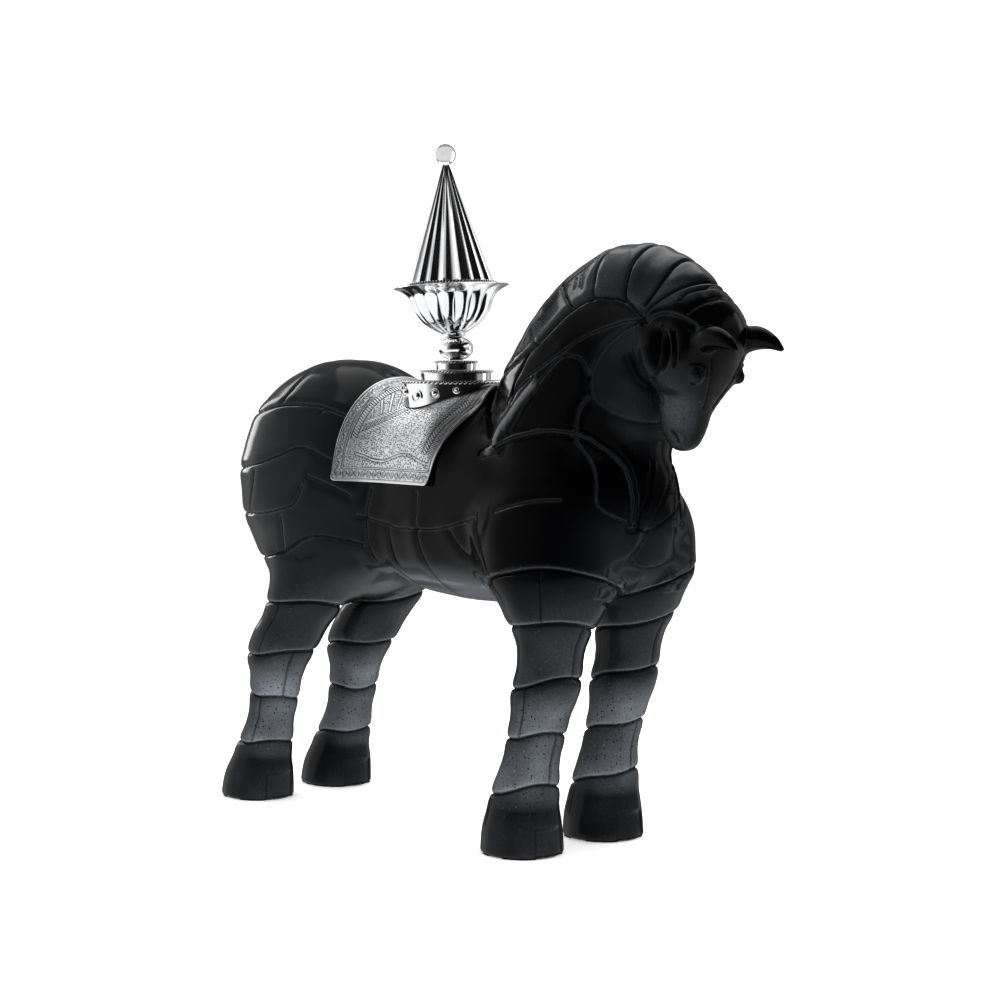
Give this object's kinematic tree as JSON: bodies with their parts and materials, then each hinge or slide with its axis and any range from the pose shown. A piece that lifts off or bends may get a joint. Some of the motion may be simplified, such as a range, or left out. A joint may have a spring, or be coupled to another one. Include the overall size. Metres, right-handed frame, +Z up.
{
  "type": "cast crystal horse sculpture",
  "caption": "Standing horse in black cast crystal with carved armour-like plates, bearing an engraved silver saddlecloth and a stacked silver finial tipped with a clear ball.",
  "frame": {"origin": "middle of the whole sculpture's box in plan, on the surface that the feet stand on", "axes": "+X towards the head, +Y to the horse's left side, +Z up"},
  "size_m": [0.5292, 0.1646, 0.5192],
  "materials": {
    "black_crystal": "polished black cast crystal, satin on the lower legs",
    "engraved_silver": "chased and blackened silver",
    "polished_silver": "mirror-polished silver",
    "clear_crystal": "clear polished crystal"
  },
  "bodies": {
    "root": {"horse": "black_crystal", "saddlecloth": "engraved_silver", "saddle_drum": "polished_silver", "lower_disc": "polished_silver", "upper_disc": "polished_silver", "knop": "polished_silver", "cup": "polished_silver", "cover": "polished_silver", "ball": "clear_crystal"}
  },
  "joints": []
}
